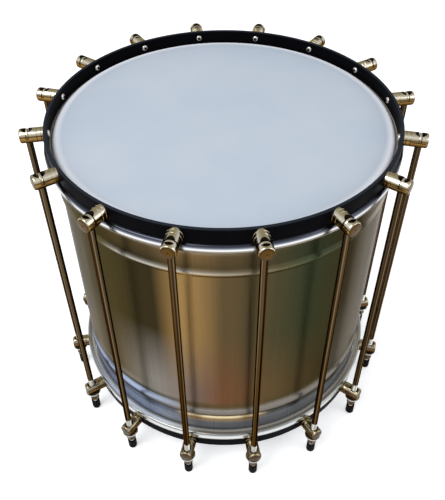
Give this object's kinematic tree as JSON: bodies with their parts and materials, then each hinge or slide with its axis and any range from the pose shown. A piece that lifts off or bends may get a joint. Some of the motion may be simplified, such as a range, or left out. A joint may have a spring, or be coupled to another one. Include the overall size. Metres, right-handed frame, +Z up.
{
  "type": "repinique",
  "caption": "Two-headed metal hand drum with rolled beads, black counterhoops and full-length tension rods with slotted barrel posts, screw nuts and rubber feet.",
  "frame": {"origin": "on the drum's axis, on the ground that the rods' rubber caps stand on", "axes": "+Z up along the drum's axis towards the batter head, +X through the first tension rod"},
  "size_m": [0.3608, 0.3608, 0.3329],
  "materials": {
    "shell": "polished",
    "flesh_hoop": "bright satin",
    "counterhoop": "gloss black",
    "head_film": "coated white film",
    "nickel": "nickel plated",
    "zinc": "bright zinc plated",
    "rubber": "black rubber caps, which are joined to the rods"
  },
  "bodies": {
    "drum": {"shell": "shell", "batter_head": "head_film", "batter_flesh_hoop": "flesh_hoop", "batter_counterhoop": "counterhoop", "resonant_head": "head_film", "resonant_flesh_hoop": "flesh_hoop", "resonant_counterhoop": "counterhoop", "tension_rod_01": "nickel", "tension_rod_02": "nickel", "tension_rod_03": "nickel", "tension_rod_04": "nickel", "tension_rod_05": "nickel", "tension_rod_06": "nickel", "tension_rod_07": "nickel", "tension_rod_08": "nickel", "tension_rod_09": "nickel", "tension_rod_10": "nickel", "tension_rod_11": "nickel", "tension_rod_12": "nickel", "tension_rod_13": "nickel", "tension_rod_14": "nickel", "tension_rod_15": "nickel", "tension_rod_16": "nickel"},
    "washer_01": {"nut_washer_01": "zinc"},
    "nut_01": {"tension_nut_01": "nickel"},
    "washer_02": {"nut_washer_02": "zinc"},
    "nut_02": {"tension_nut_02": "nickel"},
    "washer_03": {"nut_washer_03": "zinc"},
    "nut_03": {"tension_nut_03": "nickel"},
    "washer_04": {"nut_washer_04": "zinc"},
    "nut_04": {"tension_nut_04": "nickel"},
    "washer_05": {"nut_washer_05": "zinc"},
    "nut_05": {"tension_nut_05": "nickel"},
    "washer_06": {"nut_washer_06": "zinc"},
    "nut_06": {"tension_nut_06": "nickel"},
    "washer_07": {"nut_washer_07": "zinc"},
    "nut_07": {"tension_nut_07": "nickel"},
    "washer_08": {"nut_washer_08": "zinc"},
    "nut_08": {"tension_nut_08": "nickel"},
    "washer_09": {"nut_washer_09": "zinc"},
    "nut_09": {"tension_nut_09": "nickel"},
    "washer_10": {"nut_washer_10": "zinc"},
    "nut_10": {"tension_nut_10": "nickel"},
    "washer_11": {"nut_washer_11": "zinc"},
    "nut_11": {"tension_nut_11": "nickel"},
    "washer_12": {"nut_washer_12": "zinc"},
    "nut_12": {"tension_nut_12": "nickel"},
    "washer_13": {"nut_washer_13": "zinc"},
    "nut_13": {"tension_nut_13": "nickel"},
    "washer_14": {"nut_washer_14": "zinc"},
    "nut_14": {"tension_nut_14": "nickel"},
    "washer_15": {"nut_washer_15": "zinc"},
    "nut_15": {"tension_nut_15": "nickel"},
    "washer_16": {"nut_washer_16": "zinc"},
    "nut_16": {"tension_nut_16": "nickel"}
  },
  "joints": [
    {"name": "washer_drop_01", "type": "slide", "parent": "drum", "child": "washer_01", "axis": [0, 0, 1], "range_m": [-0.002, 0]},
    {"name": "nut_turn_01", "type": "hinge", "parent": "washer_01", "child": "nut_01", "pos_m": [0.172, 0, 0.0228], "axis": [0, 0, 1], "range_deg": [-720, 0]},
    {"name": "washer_drop_02", "type": "slide", "parent": "drum", "child": "washer_02", "axis": [0, 0, 1], "range_m": [-0.002, 0]},
    {"name": "nut_turn_02", "type": "hinge", "parent": "washer_02", "child": "nut_02", "pos_m": [0.15891, 0.06582, 0.0228], "axis": [0, 0, 1], "range_deg": [-720, 0]},
    {"name": "washer_drop_03", "type": "slide", "parent": "drum", "child": "washer_03", "axis": [0, 0, 1], "range_m": [-0.002, 0]},
    {"name": "nut_turn_03", "type": "hinge", "parent": "washer_03", "child": "nut_03", "pos_m": [0.12162, 0.12162, 0.0228], "axis": [0, 0, 1], "range_deg": [-720, 0]},
    {"name": "washer_drop_04", "type": "slide", "parent": "drum", "child": "washer_04", "axis": [0, 0, 1], "range_m": [-0.002, 0]},
    {"name": "nut_turn_04", "type": "hinge", "parent": "washer_04", "child": "nut_04", "pos_m": [0.06582, 0.15891, 0.0228], "axis": [0, 0, 1], "range_deg": [-720, 0]},
    {"name": "washer_drop_05", "type": "slide", "parent": "drum", "child": "washer_05", "axis": [0, 0, 1], "range_m": [-0.002, 0]},
    {"name": "nut_turn_05", "type": "hinge", "parent": "washer_05", "child": "nut_05", "pos_m": [0, 0.172, 0.0228], "axis": [0, 0, 1], "range_deg": [-720, 0]},
    {"name": "washer_drop_06", "type": "slide", "parent": "drum", "child": "washer_06", "axis": [0, 0, 1], "range_m": [-0.002, 0]},
    {"name": "nut_turn_06", "type": "hinge", "parent": "washer_06", "child": "nut_06", "pos_m": [-0.06582, 0.15891, 0.0228], "axis": [0, 0, 1], "range_deg": [-720, 0]},
    {"name": "washer_drop_07", "type": "slide", "parent": "drum", "child": "washer_07", "axis": [0, 0, 1], "range_m": [-0.002, 0]},
    {"name": "nut_turn_07", "type": "hinge", "parent": "washer_07", "child": "nut_07", "pos_m": [-0.12162, 0.12162, 0.0228], "axis": [0, 0, 1], "range_deg": [-720, 0]},
    {"name": "washer_drop_08", "type": "slide", "parent": "drum", "child": "washer_08", "axis": [0, 0, 1], "range_m": [-0.002, 0]},
    {"name": "nut_turn_08", "type": "hinge", "parent": "washer_08", "child": "nut_08", "pos_m": [-0.15891, 0.06582, 0.0228], "axis": [0, 0, 1], "range_deg": [-720, 0]},
    {"name": "washer_drop_09", "type": "slide", "parent": "drum", "child": "washer_09", "axis": [0, 0, 1], "range_m": [-0.002, 0]},
    {"name": "nut_turn_09", "type": "hinge", "parent": "washer_09", "child": "nut_09", "pos_m": [-0.172, 0, 0.0228], "axis": [0, 0, 1], "range_deg": [-720, 0]},
    {"name": "washer_drop_10", "type": "slide", "parent": "drum", "child": "washer_10", "axis": [0, 0, 1], "range_m": [-0.002, 0]},
    {"name": "nut_turn_10", "type": "hinge", "parent": "washer_10", "child": "nut_10", "pos_m": [-0.15891, -0.06582, 0.0228], "axis": [0, 0, 1], "range_deg": [-720, 0]},
    {"name": "washer_drop_11", "type": "slide", "parent": "drum", "child": "washer_11", "axis": [0, 0, 1], "range_m": [-0.002, 0]},
    {"name": "nut_turn_11", "type": "hinge", "parent": "washer_11", "child": "nut_11", "pos_m": [-0.12162, -0.12162, 0.0228], "axis": [0, 0, 1], "range_deg": [-720, 0]},
    {"name": "washer_drop_12", "type": "slide", "parent": "drum", "child": "washer_12", "axis": [0, 0, 1], "range_m": [-0.002, 0]},
    {"name": "nut_turn_12", "type": "hinge", "parent": "washer_12", "child": "nut_12", "pos_m": [-0.06582, -0.15891, 0.0228], "axis": [0, 0, 1], "range_deg": [-720, 0]},
    {"name": "washer_drop_13", "type": "slide", "parent": "drum", "child": "washer_13", "axis": [0, 0, 1], "range_m": [-0.002, 0]},
    {"name": "nut_turn_13", "type": "hinge", "parent": "washer_13", "child": "nut_13", "pos_m": [0, -0.172, 0.0228], "axis": [0, 0, 1], "range_deg": [-720, 0]},
    {"name": "washer_drop_14", "type": "slide", "parent": "drum", "child": "washer_14", "axis": [0, 0, 1], "range_m": [-0.002, 0]},
    {"name": "nut_turn_14", "type": "hinge", "parent": "washer_14", "child": "nut_14", "pos_m": [0.06582, -0.15891, 0.0228], "axis": [0, 0, 1], "range_deg": [-720, 0]},
    {"name": "washer_drop_15", "type": "slide", "parent": "drum", "child": "washer_15", "axis": [0, 0, 1], "range_m": [-0.002, 0]},
    {"name": "nut_turn_15", "type": "hinge", "parent": "washer_15", "child": "nut_15", "pos_m": [0.12162, -0.12162, 0.0228], "axis": [0, 0, 1], "range_deg": [-720, 0]},
    {"name": "washer_drop_16", "type": "slide", "parent": "drum", "child": "washer_16", "axis": [0, 0, 1], "range_m": [-0.002, 0]},
    {"name": "nut_turn_16", "type": "hinge", "parent": "washer_16", "child": "nut_16", "pos_m": [0.15891, -0.06582, 0.0228], "axis": [0, 0, 1], "range_deg": [-720, 0]}
  ],
  "couplings": [
    {"joint": "nut_turn_01", "follows": "washer_drop_01", "rad_per_m": 6283.2},
    {"joint": "nut_turn_02", "follows": "washer_drop_02", "rad_per_m": 6283.2},
    {"joint": "nut_turn_03", "follows": "washer_drop_03", "rad_per_m": 6283.2},
    {"joint": "nut_turn_04", "follows": "washer_drop_04", "rad_per_m": 6283.2},
    {"joint": "nut_turn_05", "follows": "washer_drop_05", "rad_per_m": 6283.2},
    {"joint": "nut_turn_06", "follows": "washer_drop_06", "rad_per_m": 6283.2},
    {"joint": "nut_turn_07", "follows": "washer_drop_07", "rad_per_m": 6283.2},
    {"joint": "nut_turn_08", "follows": "washer_drop_08", "rad_per_m": 6283.2},
    {"joint": "nut_turn_09", "follows": "washer_drop_09", "rad_per_m": 6283.2},
    {"joint": "nut_turn_10", "follows": "washer_drop_10", "rad_per_m": 6283.2},
    {"joint": "nut_turn_11", "follows": "washer_drop_11", "rad_per_m": 6283.2},
    {"joint": "nut_turn_12", "follows": "washer_drop_12", "rad_per_m": 6283.2},
    {"joint": "nut_turn_13", "follows": "washer_drop_13", "rad_per_m": 6283.2},
    {"joint": "nut_turn_14", "follows": "washer_drop_14", "rad_per_m": 6283.2},
    {"joint": "nut_turn_15", "follows": "washer_drop_15", "rad_per_m": 6283.2},
    {"joint": "nut_turn_16", "follows": "washer_drop_16", "rad_per_m": 6283.2}
  ]
}
